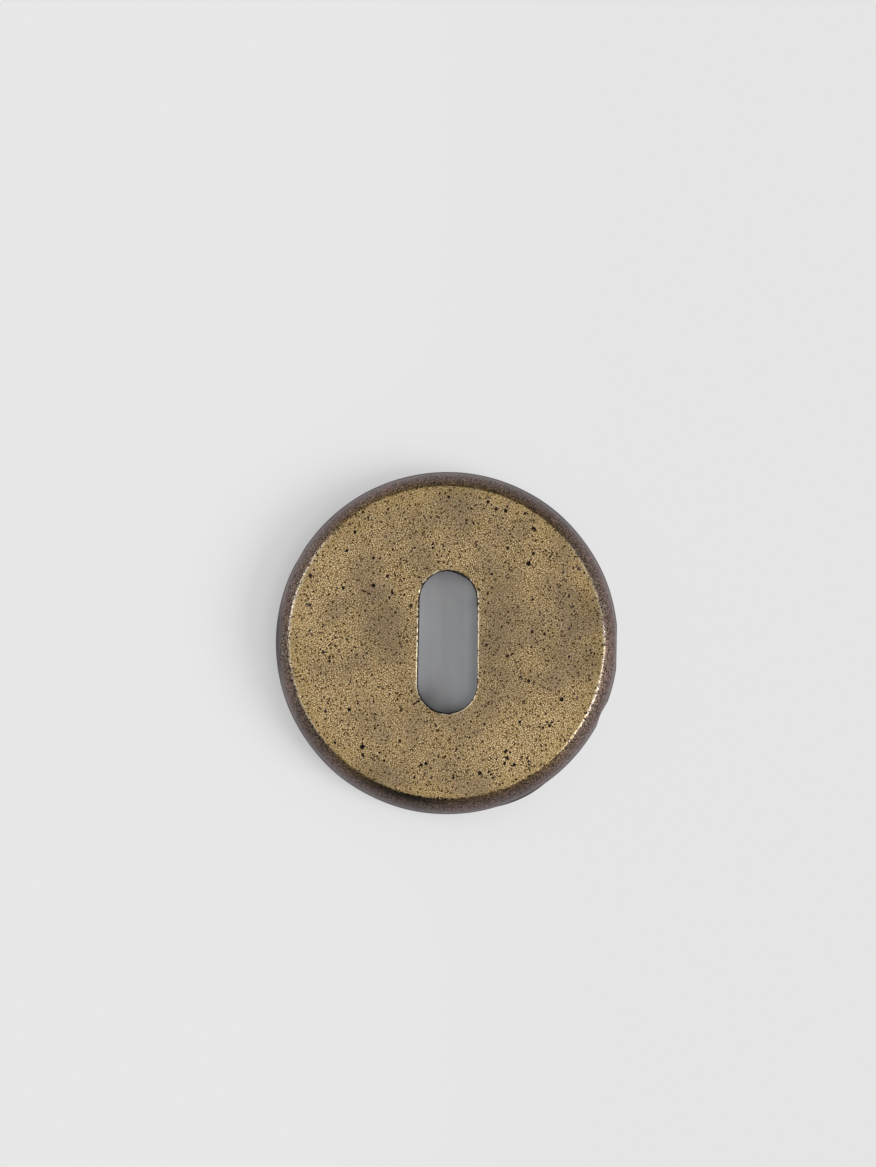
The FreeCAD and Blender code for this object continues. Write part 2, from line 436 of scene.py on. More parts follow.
LARGE_PITS = [
    (11.9, 11.5, 0.36), (8.6, 19.2, 0.30), (8.8, 19.8, 0.20), (7.2, 19.5, 0.25),
    (11.4, 18.8, 0.22), (12.5, 16.7, 0.20), (12.8, 16.4, 0.20), (8.8, 13.8, 0.20),
    (12.6, 13.0, 0.22), (19.2, 10.8, 0.24), (20.0, 10.2, 0.18), (18.0, 13.5, 0.18),
    (16.9, 10.2, 0.18), (12.5, 6.3, 0.21), (18.2, 5.2, 0.21), (12.4, 1.6, 0.23),
    (14.2, 1.3, 0.23), (17.8, 2.1, 0.22), (19.4, 0.8, 0.19), (2.9, 17.8, 0.19),
    (3.9, 17.4, 0.19), (6.0, 20.5, 0.24), (0.3, 21.2, 0.22), (-12.2, 19.0, 0.24),
    (-11.4, 18.2, 0.22), (-13.3, 16.1, 0.26), (-14.5, 13.4, 0.23), (-10.6, 12.4, 0.22),
    (-2.0, 14.4, 0.23), (-2.0, 13.8, 0.19), (-19.8, 9.8, 0.29), (-19.3, 10.6, 0.21),
    (-8.6, 9.7, 0.28), (-10.6, 8.3, 0.28), (-15.0, 8.0, 0.26), (-7.9, 7.3, 0.24),
    (-8.3, 6.6, 0.21), (-5.2, 5.4, 0.25), (-19.9, 5.5, 0.26), (-20.3, 5.6, 0.18),
    (-21.4, 8.3, 0.19), (-6.2, 9.3, 0.18), (-19.6, 1.2, 0.21), (-21.8, 0.8, 0.17),
    (-17.9, -1.3, 0.24), (-16.2, -0.4, 0.18), (-13.0, -1.7, 0.18), (-11.6, -1.5, 0.18),
    (-14.1, -9.7, 0.28), (-12.9, -8.8, 0.19), (-10.6, -8.5, 0.20), (-17.6, -9.9, 0.22),
    (-21.0, -7.8, 0.21), (-10.0, -12.0, 0.19), (-10.4, -12.4, 0.19), (-12.3, -15.1, 0.36),
    (-12.2, -16.2, 0.23), (-9.7, -15.9, 0.18), (-9.1, -17.1, 0.21), (-6.8, -14.2, 0.22),
    (-5.1, -7.0, 0.19), (-4.7, -8.9, 0.20), (-4.1, -8.5, 0.20), (-1.6, -12.0, 0.20),
    (-1.3, -12.7, 0.20), (-3.0, -17.5, 0.26), (-3.7, -17.7, 0.22), (8.8, -1.9, 0.23),
    (17.8, -2.0, 0.22), (10.7, -4.9, 0.20), (10.9, -5.2, 0.16), (11.9, -5.5, 0.25),
    (16.7, -8.2, 0.30), (18.9, -8.0, 0.22), (18.5, -7.4, 0.18), (5.5, -11.8, 0.20),
    (10.6, -11.5, 0.23), (14.9, -12.0, 0.23), (15.3, -11.5, 0.17), (14.0, -12.3, 0.20),
    (17.2, -14.2, 0.22), (8.6, -15.7, 0.29), (9.2, -15.9, 0.18), (8.8, -16.7, 0.26),
    (8.4, -17.5, 0.26), (9.8, -17.7, 0.26), (11.7, -16.7, 0.20), (11.9, -17.2, 0.21),
    (12.0, -17.7, 0.17), (10.9, -16.6, 0.19), (4.8, -18.9, 0.28), (6.1, -18.7, 0.22),
    (6.4, -19.1, 0.19), (6.7, -19.6, 0.19), (1.0, -19.6, 0.22), (-0.2, -16.5, 0.19),
    (6.4, -16.8, 0.17), (7.2, -16.9, 0.17),
]
large_pit_depth = 0.75  # as a share of its radius
strewn_pits = 60
strewn_radius = (0.12, 0.20)
strewn_depth = (0.5, 0.8)
crowding_fineness = 0.16  # the strewn pits lie in loose crowds
crowding_shift = Vector((7.0, 2.0, 0.0))
crowding_limits = (-0.6, 0.3)
rim_clearance = 0.7
side_clearance = 0.6
end_clearance = 0.9
pit_seed = 11
pit_rugged = 0.45  # unevenness of a pit's outline, as a share of its radius
pit_fineness = 1.1
pit_steepness = 1.9
refined_margin = 0.16  # how far past a pit's rim the mesh is made finer
cell_sizes = (0.55, 0.28)  # of the face's mesh, before each time it is made finer


def pits():
    """Every pit, with its place across the face, its radius and its depth."""
    chance = random.Random(pit_seed)
    found = []
    for x, y, radius in LARGE_PITS:
        found.append((Vector((x, y, plate_height)), radius, radius * large_pit_depth))
    while len(found) < len(LARGE_PITS) + strewn_pits:
        place = Vector((chance.uniform(-1, 1), chance.uniform(-1, 1), 0.0)) * face_radius
        across_keyhole = abs(place.x) < edge_at + side_clearance
        along_keyhole = abs(place.y) < keyhole_length / 2 + end_clearance
        crowd = noise.noise(place * crowding_fineness + crowding_shift)
        in_crowd = crowd > chance.uniform(*crowding_limits)
        on_face = place.length < face_radius - rim_clearance
        if on_face and in_crowd and not (across_keyhole and along_keyhole):
            radius = chance.uniform(*strewn_radius)
            place.z = plate_height
            found.append((place, radius, radius * chance.uniform(*strewn_depth)))
    return found


def sink_pits(shape):
    """Makes the face finer round each pit, then pushes the pit's own vertices in, to an uneven outline."""
    found = pits()
    near = KDTree(len(found))
    for number, (place, radius, depth) in enumerate(found):
        near.insert(place, number)
    near.balance()
    reach = max(radius for place, radius, depth in found) + refined_margin

    for cell in cell_sizes:
        edges = set()
        for face in shape.faces:
            middle = face.calc_center_median()
            if abs(middle.z - plate_height) > in_plane:
                continue
            for place, number, distance in near.find_range(middle, reach + cell / 2):
                if distance < found[number][1] + refined_margin + cell / 2:
                    edges.update(face.edges)
                    break
        bmesh.ops.subdivide_edges(shape, edges=list(edges), cuts=1, use_grid_fill=True)

    for vert in shape.verts:
        if abs(vert.co.z - plate_height) > in_plane:
            continue
        sunk = 0.0
        for place, number, distance in near.find_range(vert.co, reach):
            place, radius, depth = found[number]
            own_noise = Vector((number, 0.0, 0.0))
            from_pit = (vert.co - place) * (pit_fineness / radius)
            rugged = 1 + pit_rugged * noise.noise(from_pit + own_noise)
            inside = 1 - distance / (radius * rugged)
            if inside > 0:
                sunk = max(sunk, depth * min(1.0, pit_steepness * inside))
        vert.co.z -= sunk


sink_pits(plate)

corner_angle = math.radians(38)  # edges that turn by more than this stay sharp


def finished_piece(name, shape):
    """Brings a shape to metres and makes it an object, smooth except at its corners."""
    bmesh.ops.scale(shape, verts=shape.verts, vec=(MM, MM, MM))
    mesh = bpy.data.meshes.new(name)
    shape.to_mesh(mesh)
    shape.free()
    mesh.shade_smooth()
    mesh.set_sharp_from_angle(angle=corner_angle)
    piece = bpy.data.objects.new(name, mesh)
    bpy.context.scene.collection.objects.link(piece)
    return piece


# The finish: grinding took the skin off the face, and left satin metal with a fine grain.
# Everywhere else the bronze keeps its skin, which has gone dark brown, and so do the pits, which
# the wheel didn't reach.


class Reading:
    """A number or colour that changes over the surface. Arithmetic on a number adds Math nodes."""

    def __init__(self, finish, socket):
        self.finish = finish
        self.socket = socket

    def __add__(self, other):
        return self.finish.reckon("ADD", self, other)

    def __sub__(self, other):
        return self.finish.reckon("SUBTRACT", self, other)

    def __mul__(self, other):
        return self.finish.reckon("MULTIPLY", self, other)

    def __truediv__(self, other):
        return self.finish.reckon("DIVIDE", self, other)

    def __radd__(self, other):
        return self.finish.reckon("ADD", other, self)

    def __rsub__(self, other):
        return self.finish.reckon("SUBTRACT", other, self)

    def __rmul__(self, other):
        return self.finish.reckon("MULTIPLY", other, self)

    def __rtruediv__(self, other):
        return self.finish.reckon("DIVIDE", other, self)


class Finish:
    """The nodes of one material, or of the room."""

    def __init__(self, owner):
        owner.use_nodes = True
        self.tree = owner.node_tree
        self.tree.nodes.clear()

    def node(self, kind, settings, inputs, output=0):
        """Adds a node: its settings first, then the values or links of its sockets."""
        made = self.tree.nodes.new(kind)
        for name, value in settings.items():
            if name == "stops":
                self.set_stops(made.color_ramp, value)
            else:
                setattr(made, name, value)
        for socket in made.inputs:
            if socket.identifier in inputs:
                given = inputs[socket.identifier]
                if isinstance(given, Reading):
                    self.tree.links.new(given.socket, socket)
                else:
                    socket.default_value = given
        return Reading(self, made.outputs[output]) if made.outputs else None

    def set_stops(self, ramp, stops):
        for position, colour in stops[2:]:
            ramp.elements.new(position)
        for element, (position, colour) in zip(ramp.elements, stops):
            element.position = position
            element.color = colour

    def also(self, reading, output):
        """Another output of the node that a reading comes from."""
        return Reading(self, reading.socket.node.outputs[output])

    def reckon(self, operation, first, second):
        inputs = {"Value": first, "Value_001": second}
        return self.node("ShaderNodeMath", {"operation": operation}, inputs)

    def vector(self, operation, first, second, output=0):
        inputs = {"Vector": first, "Vector_001": second}
        return self.node("ShaderNodeVectorMath", {"operation": operation}, inputs, output)

    def place(self):
        """Where a point of the surface is, in millimetres."""
        point = self.node("ShaderNodeTexCoord", {}, {}, "Object")
        scale = (1 / MM, 1 / MM, 1 / MM)
        return self.node("ShaderNodeMapping", {}, {"Vector": point, "Scale": scale})

    def part_of(self, vector, letter):
        return self.node("ShaderNodeSeparateXYZ", {}, {"Vector": vector}, letter)

    def between(self, value, low, high):
        """Rises smoothly from 0 at low to 1 at high, or falls where low is above high."""
        inputs = {"Value": value, "From Min": low, "From Max": high}
        return self.node("ShaderNodeMapRange", {"interpolation_type": "SMOOTHSTEP"}, inputs)

    def cloud(self, vector, size, detail=2.0, shift=(0.0, 0.0, 0.0)):
        """Soft noise around 0.5, in blots of about that size."""
        moved = self.node("ShaderNodeMapping", {}, {"Vector": vector, "Location": shift})
        inputs = {"Vector": moved, "Scale": 1 / size, "Detail": detail}
        return self.node("ShaderNodeTexNoise", {}, inputs)

    def blend(self, mask, under, over):
        """The over colour where the mask is 1, the under colour where it is 0."""
        inputs = {"Factor_Float": mask, "A_Color": under, "B_Color": over}
        return self.node("ShaderNodeMix", {"data_type": "RGBA"}, inputs, 2)

    def toned(self, colour, tone):
        """The colour, made lighter or darker by a tone around 1."""
        inputs = {"Vector": colour, "Scale": tone}
        return self.node("ShaderNodeVectorMath", {"operation": "SCALE"}, inputs)

    def near(self, vector, spot, reach):
        """1 at a spot, falling to 0 at that distance from it."""
        return self.between(self.vector("DISTANCE", vector, spot, 1), reach, 0.0)

    def shown_by(self, shader):
        self.node("ShaderNodeOutputMaterial", {}, {"Surface": shader})


# The ground metal, from its darkest grains to its brightest.
GRAIN_COLOURS = [
    (0.0, (0.060, 0.032, 0.012, 1.0)),
    (0.25, (0.210, 0.127, 0.049, 1.0)),
    (0.55, (0.372, 0.248, 0.104, 1.0)),
    (0.80, (0.58, 0.425, 0.22, 1.0)),
    (1.0, (0.80, 0.66, 0.43, 1.0)),
]
MAUVE_BRONZE = (0.285, 0.203, 0.140, 1.0)
OLIVE_BRONZE = (0.40, 0.275, 0.095, 1.0)
# Bright worn metal, which also serves as the colour of painted glints.
BRIGHT_WEAR_AND_GLINT = (0.70, 0.59, 0.41, 1.0)
PIT_BROWN = (0.032, 0.015, 0.005, 1.0)
PIT_BLACK = (0.022, 0.013, 0.010, 1.0)
PIT_GREY = (0.085, 0.056, 0.041, 1.0)

# The skin of the rim, from the foot up to the face's edge, as shares of the plate's height. Its
# darkening down to the foot is painted shade where the wall meets the floor.
SKIN_AND_FOOT_SHADE_COLOURS = [
    (0.10, (0.050, 0.038, 0.034, 1.0)),
    (0.35, (0.080, 0.059, 0.054, 1.0)),
    (0.58, (0.120, 0.079, 0.077, 1.0)),
    (0.75, (0.152, 0.098, 0.093, 1.0)),
    (0.86, (0.155, 0.102, 0.080, 1.0)),
    (0.94, (0.160, 0.101, 0.058, 1.0)),
    (0.985, (0.180, 0.114, 0.046, 1.0)),
]
# The worn edge strip's colour on the left and right, painted pale as a highlight where the lamps glint.
EDGE_GLINT = (0.35, 0.325, 0.29, 1.0)
# The shoulder's paler, less orange colour on the left and right, a painted sheen from the lamps.
SIDE_SHEEN = (0.152, 0.112, 0.104, 1.0)
EDGE_OLIVE = (0.13, 0.086, 0.032, 1.0)
# The filed flat on the left, painted dark: painted shade for the shaded floor that it reflects.
FILED_FLAT_SHADE = (0.048, 0.039, 0.046, 1.0)
CORE_SKIN = (0.13, 0.095, 0.058, 1.0)

# Soft patches of the face, as a place, a reach and how much lighter or darker the metal is there.
FACE_PATCHES = [
    ((-14.0, -6.0), 15.0, 0.02),
    ((-6.6, -11.4), 6.5, 0.06),
    ((0.0, -19.5), 6.0, -0.09),
    ((1.0, 14.0), 6.0, 0.05),
    ((9.5, -17.0), 9.0, 0.18),
    ((16.5, -9.5), 7.0, 0.16),
    ((10.0, 1.0), 9.0, -0.12),
    ((19.5, 2.5), 9.0, -0.27),
    ((0.0, 19.0), 11.0, -0.14),
    ((0.0, 13.0), 5.0, 0.14),
    ((-2.6, 10.4), 2.6, -0.20),
    ((-9.5, 4.2), 6.5, -0.27),
    ((-17.0, 10.0), 6.0, 0.12),
    ((-19.5, 0.0), 7.0, 0.08),
    ((-9.5, 16.5), 6.0, 0.08),
    ((-20.0, 6.0), 4.5, 0.20),
    ((15.0, 3.2), 6.0, 0.14),
    ((15.5, -13.2), 6.5, 0.20),
    ((-11.5, -18.5), 5.0, -0.26),
    ((1.5, -12.8), 4.0, -0.13),
    ((4.5, 14.5), 5.0, 0.13),
    ((21.0, -3.0), 4.0, -0.18),
    ((-18.0, -9.5), 6.5, 0.08),
]
# The skin's tone, in the same way. It is lighter on the right, which is painted light from the main
# lamp, darker at the filed flat on the left, which is painted shade, and darker in places, most of
# all towards the bottom.
SKIN_TONE_AND_LIGHT_PATCHES = [
    ((-6.0, -25.0), 22.0, -0.50),
    ((14.0, 21.0), 11.0, -0.15),
    ((6.0, 25.0), 13.0, -0.10),
    ((-21.0, -13.0), 12.0, -0.15),
    ((25.0, 0.0), 15.0, 0.28),
    ((-25.2, 1.0), 8.0, -0.12),
    ((12.5, -21.6), 7.0, -0.26),
    ((21.6, -12.5), 8.0, 0.14),
    ((-21.6, -12.5), 7.0, -0.26),
    ((13.5, 22.5), 8.0, -0.14),
]
# Where the rim was left rough, as a place and a reach. The bright grains there are painted glints.
ROUGH_SPOTS = [
    ((-23.3, 1.0), 1.7),
    ((-23.8, -1.2), 2.4),
    ((22.9, 5.2), 1.4),
    ((21.9, 8.6), 1.2),
]
# Pits of the rim, as a place and a radius.
RIM_PITS = [
    ((-0.2, -24.4), 0.27),
    ((9.5, 22.8), 0.24),
    ((9.9, 21.9), 0.20),
    ((22.2, 10.5), 0.24),
    ((21.9, 9.7), 0.22),
    ((22.2, 8.5), 0.24),
    ((22.8, 7.6), 0.22),
    ((24.3, 3.2), 0.22),
    ((24.6, 2.5), 0.24),
    ((-22.6, 8.3), 0.22),
    ((-21.9, 9.9), 0.24),
    ((-17.5, -16.9), 0.20),
    ((8.4, -22.3), 0.18),
    ((-8.6, 22.1), 0.18),
]
# Scratches across the face: where each starts and ends, how far it bows out, and how dark it is.
SCRATCHES = [
    ((3.4, 14.6), (5.5, 13.1), 0.3, 0.8),
    ((8.2, 10.0), (11.4, 11.4), 0.1, 0.7),
    ((11.4, -10.5), (12.5, -10.9), 0.35, 0.75),
    ((6.0, -6.8), (7.6, -6.7), 0.1, 0.5),
    ((-3.2, -14.4), (-2.0, -13.0), 0.25, 0.45),
]
# Where the skin is darkest close under the face, as a place, a reach and by how much.
DARK_BELOW_FACE = ((-6.0, -22.5), 16.0, 0.50)
# The stretches of the keyhole's lip that are brightest, as a place and a reach. The lip is rubbed, and
# its bright colour there is also a painted highlight where the lamps glint.
GLINTING_LIP_STRETCHES = [
    ((-4.6, -3.5), 8.0),
    ((4.7, 0.5), 9.0),
    ((2.5, -9.8), 4.0),
]
# The ground metal: its lightness, and how strongly each thing changes it
face_lightness = 0.975
face_clouding = 0.8
grain_level = 0.595  # where the metal between the grains lies in the grains' colours
grain_lighter = 0.67
grain_darker = 0.86
mauve_share = 0.40
olive_share = 0.25
rim_glint_share = 0.35
scratch_width = 0.09
# The skin, in the same way
skin_lightness = 1.08
skin_clouding = 0.6
side_sheen_share = 0.55
filed_shade_share = 0.75
mottle_strength = 1.25
mottle_less_on_wall = 0.65
speckle_strength = 0.6
speckle_less_on_wall = 0.35
# Painted shade on the keyhole's wall below its lip
keyhole_wall_shade = 0.76
rough_darker = 1.5
rim_pit_share = 0.9
# How it shines
mean_roughness = 0.40
rubbed_smoother = 0.14
wall_rougher = 0.2
keyhole_rougher = 0.3
skin_metallic = 0.9
glaze_share = 0.18
# How deep the finest relief goes
grain_depth = 0.004
cast_depth = 0.02
speck_depth = 0.03
scratch_depth = 0.01

bronze_material = bpy.data.materials.new("bronze_escutcheon")
bronze = Finish(bronze_material)
spot = bronze.place()
height = bronze.part_of(spot, "Z")
level_spot = bronze.vector("MULTIPLY", spot, (1.0, 1.0, 0.0))
across = bronze.vector("LENGTH", level_spot, (0.0, 0.0, 0.0), 1)

fine_noise = bronze.cloud(spot, size=0.12, detail=1.0)
coarse_grain = bronze.cloud(spot, size=0.45, detail=2.0, shift=(9.0, 0.0, 0.0))
cloudiness = bronze.cloud(spot, size=7.0, detail=3.0, shift=(3.0, 5.0, 0.0))
greyness = bronze.cloud(spot, size=3.4, detail=4.0, shift=(-8.0, 2.0, 0.0))
crowding = bronze.cloud(spot, size=3.0, detail=2.0, shift=(2.0, -6.0, 0.0))
# A place that is thrown a little off, so that what is drawn from it gets an uneven outline
throws = bronze.node("ShaderNodeTexNoise", {}, {"Vector": spot, "Scale": 4.5, "Detail": 1.0}, 1)
thrown_aside = bronze.toned(throws, 0.24)
rugged_spot = bronze.vector("ADD", spot, thrown_aside)


def grains(apart, rim, shift, dimensions):
    """Grains, each with its own strength: cut by the wheel (2D), or left by the sand (3D)."""
    askew = {"Vector": spot, "Location": shift, "Rotation": (0.0, 0.0, shift[0] + 0.5)}
    moved = bronze.node("ShaderNodeMapping", {}, askew)
    inputs = {"Vector": moved, "Scale": 1 / apart, "Randomness": 0.8}
    distance = bronze.node("ShaderNodeTexVoronoi", {"voronoi_dimensions": dimensions}, inputs)
    strength = bronze.node("ShaderNodeSeparateColor", {}, {"Color": bronze.also(distance, "Color")})
    return bronze.between(distance, rim, 0.1) * (0.7 + strength * 0.3)


def specks(apart, rim, middle):
    """Specks strewn through the metal. The face cuts them at all depths, so they differ in size."""
    inputs = {"Vector": rugged_spot, "Scale": 1 / apart}
    distance = bronze.node("ShaderNodeTexVoronoi", {}, inputs)
    strength = bronze.node("ShaderNodeSeparateColor", {}, {"Color": bronze.also(distance, "Color")})
    crowded = distance - (crowding - 0.5) * 0.35 * (rim / apart)
    return bronze.between(crowded, rim / apart, middle / apart) * (0.8 + strength * 0.2)


light_grains = grains(apart=0.20, rim=0.65, shift=(0.0, 0.0, 0.0), dimensions="2D")
dark_grains = grains(apart=0.20, rim=0.65, shift=(5.0, 3.0, 0.0), dimensions="2D")
light_sand = grains(apart=0.24, rim=0.65, shift=(0.0, 4.0, 0.0), dimensions="3D")
dark_sand = grains(apart=0.24, rim=0.65, shift=(5.0, 1.0, 0.0), dimensions="3D")
fine_specks = specks(apart=0.54, rim=0.147, middle=0.125)
broad_specks = specks(apart=1.2, rim=0.185, middle=0.15)
speckle = 1.0 - (1.0 - fine_specks) * (1.0 - broad_specks)


def from_keyhole(finish, place):
    """How far a place is from the keyhole's middle line, in millimetres."""
    from_middle = finish.vector("SUBTRACT", place, keyhole_shift)
    level = finish.vector("MULTIPLY", from_middle, (1.0, 1.0, 0.0))
    upright = {"Vector": level, "Rotation": (0.0, 0.0, keyhole_lean)}
    along = finish.node("ShaderNodeMapping", {}, upright)
    limits = {"Value": finish.part_of(along, "Y"), "Min": lower_middle, "Max": upper_middle}
    held = finish.node("ShaderNodeClamp", {}, limits)
    nearest = finish.node("ShaderNodeCombineXYZ", {}, {"Y": held})
    return finish.vector("DISTANCE", along, nearest, 1)


# The keyhole's mouth is rubbed to a lip, which is painted bright only in some stretches, a painted
# highlight where the lamps glint on it.
mouth_radius = keyhole_lower_radius + keyhole_edge_round
in_mouth = bronze.between(from_keyhole(bronze, spot), mouth_radius + 0.1, mouth_radius)
lip = in_mouth * bronze.between(height, plate_height - 0.11, plate_height - 0.07)
lip_glint_stretches = 0.0
for (x, y), reach in GLINTING_LIP_STRETCHES:
    lip_glint_stretches = bronze.near(level_spot, (x, y, 0.0), reach) + lip_glint_stretches
lip_clouds = bronze.cloud(spot, size=0.6, shift=(0.0, 7.0, 0.0))
lip_glint_stretches = bronze.between(lip_glint_stretches + (lip_clouds - 0.5) * 3.0, 0.05, 0.4)
keyhole_wall = in_mouth * bronze.between(height, plate_height - 0.12, plate_height - 0.20)

# The ground face ends in a ragged line at the rim. Its edge there is worn in places, and on the
# left and right it is painted pale, a painted highlight where the lamps glint.
ground = bronze.between(height, plate_height - 0.025, plate_height - 0.01)
near_rim = bronze.between(across, face_radius - 0.55, face_radius - 0.45)
raggedness = (coarse_grain - 0.5) * 0.45 + (fine_noise - 0.5) * 0.40 + (face_radius - across) * 0.22
ragged_edge = bronze.between(height + raggedness, plate_height - 0.06, plate_height + 0.02)
flat_face = ground * (1.0 - near_rim) + ragged_edge * near_rim
rightwards = bronze.part_of(spot, "X")
# The left and right sides face the lamps, and colours painted there stand for their glints and sheen.
from_upright = bronze.node("ShaderNodeMath", {"operation": "ABSOLUTE"}, {"Value": rightwards})
lamp_sides = bronze.between(from_upright, 15.0, 20.0)
above_strip = bronze.between(height, plate_height - 0.16, plate_height - 0.10)
edge_strip = near_rim * above_strip * (1.0 - ground)

tone = face_lightness + (cloudiness - 0.5) * face_clouding
for (x, y), reach, change in FACE_PATCHES:
    tone = tone + bronze.near(spot, (x, y, plate_height), reach) * change

level = grain_level + light_grains * grain_lighter - dark_grains * grain_darker
satin = bronze.node("ShaderNodeValToRGB", {"stops": GRAIN_COLOURS}, {"Fac": level})
greyed = bronze.between(tone + (greyness - 0.5) * 0.9, 1.08, 0.72)
satin = bronze.blend(greyed * mauve_share, satin, MAUVE_BRONZE)
olive = bronze.between(across + (greyness - 0.5) * 5.0, 20.0, 22.6) * olive_share
satin = bronze.blend(olive, satin, OLIVE_BRONZE)
# A painted highlight: the face's edge is painted pale on the left and right, where the lamps glint.
painted_rim_glint = lamp_sides * bronze.between(across, face_radius - 0.5, face_radius - 0.2)
satin = bronze.blend(painted_rim_glint * rim_glint_share, satin, BRIGHT_WEAR_AND_GLINT)
satin = bronze.toned(satin, tone)
pit_colour = bronze.blend(bronze.between(greyness, 0.42, 0.58), PIT_BROWN, PIT_BLACK)
pale_clouds = bronze.cloud(spot, size=1.3, detail=0.0, shift=(4.0, 4.0, 0.0))
paleness = bronze.between(pale_clouds, 0.50, 0.62)
pit_colour = bronze.blend(paleness, pit_colour, PIT_GREY)
satin = bronze.blend(fine_specks, satin, PIT_BROWN)
satin = bronze.blend(broad_specks, satin, pit_colour)


def scratch(start, end, bow):
    """1 along a fine arc between two places on the face, 0 beside it."""
    start, end = Vector((*start, 0.0)), Vector((*end, 0.0))
    middle, half = (start + end) / 2, (end - start).length / 2
    sweep = (half**2 + bow**2) / (2 * bow)
    bow_way = Vector((0.0, 0.0, 1.0)).cross(end - start).normalized()
    pivot = middle + bow_way * (bow - sweep)
    from_pivot = bronze.vector("DISTANCE", level_spot, pivot, 1) - sweep
    beside = bronze.node("ShaderNodeMath", {"operation": "ABSOLUTE"}, {"Value": from_pivot})
    along = bronze.near(level_spot, middle, half * 1.6)
    return bronze.between(beside, scratch_width, 0.03) * along


scratched = 0.0
for start, end, bow, strength in SCRATCHES:
    scratched = scratch(start, end, bow) * strength + scratched
satin = bronze.toned(satin, 1.0 - scratched)

skin = bronze.node("ShaderNodeValToRGB", {"stops": SKIN_AND_FOOT_SHADE_COLOURS}, {"Fac": height / plate_height})
# The worn edge strip is olive above and below, and on the left and right painted pale, a painted highlight
# where the lamps glint.
worn_edge_and_glint = bronze.blend(lamp_sides, EDGE_OLIVE, EDGE_GLINT)
worn_edge_and_glint = bronze.toned(worn_edge_and_glint, 0.85 + light_sand * 0.9 - dark_sand * 0.9)
skin = bronze.blend(edge_strip * (1.0 - speckle), skin, worn_edge_and_glint)
pit_core = bronze.between(height, plate_height - 0.04, plate_height - 0.09)
in_pits = bronze.between(across, face_radius - 0.15, face_radius - 0.35)
skin = bronze.blend(in_pits, skin, bronze.blend(pit_core, pit_colour, PIT_BLACK))
below_core_floor = bronze.between(height, core_depth + 0.5, core_depth - 0.3)
within_foot_ring = bronze.between(across, core_radius + 0.3, core_radius)
behind = below_core_floor * within_foot_ring
skin = bronze.blend(behind, skin, CORE_SKIN)
shoulder_top = bronze.between(height, plate_height - 2.2, plate_height - 0.2)
filed = bronze.between(rightwards, -23.6, -24.5)
on_wall = 1.0 - (1.0 - bronze.between(height, 5.5, 4.0)) * (1.0 - filed)
# A painted sheen: the top of the shoulder is paler and less orange on the left and right, towards the
# lamps.
skin = bronze.blend(lamp_sides * shoulder_top * side_sheen_share, skin, SIDE_SHEEN)
mottle = (coarse_grain - 0.5) * 1.5 + (fine_noise - 0.5) * 2.2 - dark_sand * 1.3 + light_sand
mottle = 1.0 + mottle * (mottle_strength - on_wall * mottle_less_on_wall)
mottle = mottle - speckle * (speckle_strength - on_wall * speckle_less_on_wall)
skin_tone_and_light = skin_lightness + (cloudiness - 0.5) * skin_clouding
# Besides tone, these patches paint light on the right and shade at the filed flat on the left.
for (x, y), reach, change in SKIN_TONE_AND_LIGHT_PATCHES:
    skin_tone_and_light = skin_tone_and_light + bronze.near(level_spot, (x, y, 0.0), reach) * change
# Painted shade: the filed flat on the left is painted dark, standing for the shaded floor it reflects.
skin = bronze.blend(filed * filed_shade_share, skin, FILED_FLAT_SHADE)
(x, y), dark_reach, darker = DARK_BELOW_FACE
below_face = bronze.between(height, plate_height - 1.4, plate_height - 0.2)
skin_tone_and_light = skin_tone_and_light - below_face * bronze.near(level_spot, (x, y, 0.0), dark_reach) * darker
# A painted shadow: the fin at the foot is painted black, for the shadow in the gap under it.
near_flash = bronze.near(level_spot, outwards(FLASH["angle"]) * foot_radius, 4.5)
# Painted shade: the keyhole's wall below its lip is painted darker.
skin = bronze.toned(skin, (skin_tone_and_light - keyhole_wall * keyhole_wall_shade) * mottle)
flash_shadow_line = near_flash * bronze.between(height, 1.4, FLASH["height"])
skin = bronze.blend(flash_shadow_line, skin, PIT_BLACK)
# In the rough spots some grains are darker, and the bright grains are painted glints.
for (x, y), reach in ROUGH_SPOTS:
    rough = bronze.near(level_spot, (x, y, 0.0), reach) * shoulder_top
    skin = bronze.toned(skin, 1.0 - rough * dark_sand * rough_darker)
    skin = bronze.blend(rough * bronze.between(light_sand, 0.45, 0.75), skin, BRIGHT_WEAR_AND_GLINT)
for (x, y), radius in RIM_PITS:
    outwards_from_centre = math.hypot(x, y) - shoulder_centre.x
    z = shoulder_centre.z + math.sqrt(shoulder_radius**2 - outwards_from_centre**2)
    from_pit = bronze.vector("DISTANCE", rugged_spot, (x, y, z), 1)
    pitted = bronze.between(from_pit, radius * 1.3, radius * 0.7)
    skin = bronze.blend(pitted * rim_pit_share, skin, PIT_BLACK)
# The lip's bright colour is wear and painted highlight.
skin = bronze.blend(lip * lip_glint_stretches * (1.0 - speckle), skin, BRIGHT_WEAR_AND_GLINT)

colour = bronze.blend(flat_face * (1.0 - lip * lip_glint_stretches), skin, satin)
roughness = mean_roughness + (coarse_grain - 0.5) * 0.2 + flat_face * 0.04
roughness = roughness - edge_strip * rubbed_smoother - lip * rubbed_smoother
roughness = roughness + on_wall * wall_rougher + keyhole_wall * keyhole_rougher
metal = skin_metallic + flat_face * (1.0 - skin_metallic) * (1.0 - speckle) - on_wall * 0.3
metal = metal * (1.0 - keyhole_wall)
glaze = (1.0 - flat_face) * (1.0 - behind) * (1.0 - on_wall) * (1.0 - in_mouth) * glaze_share

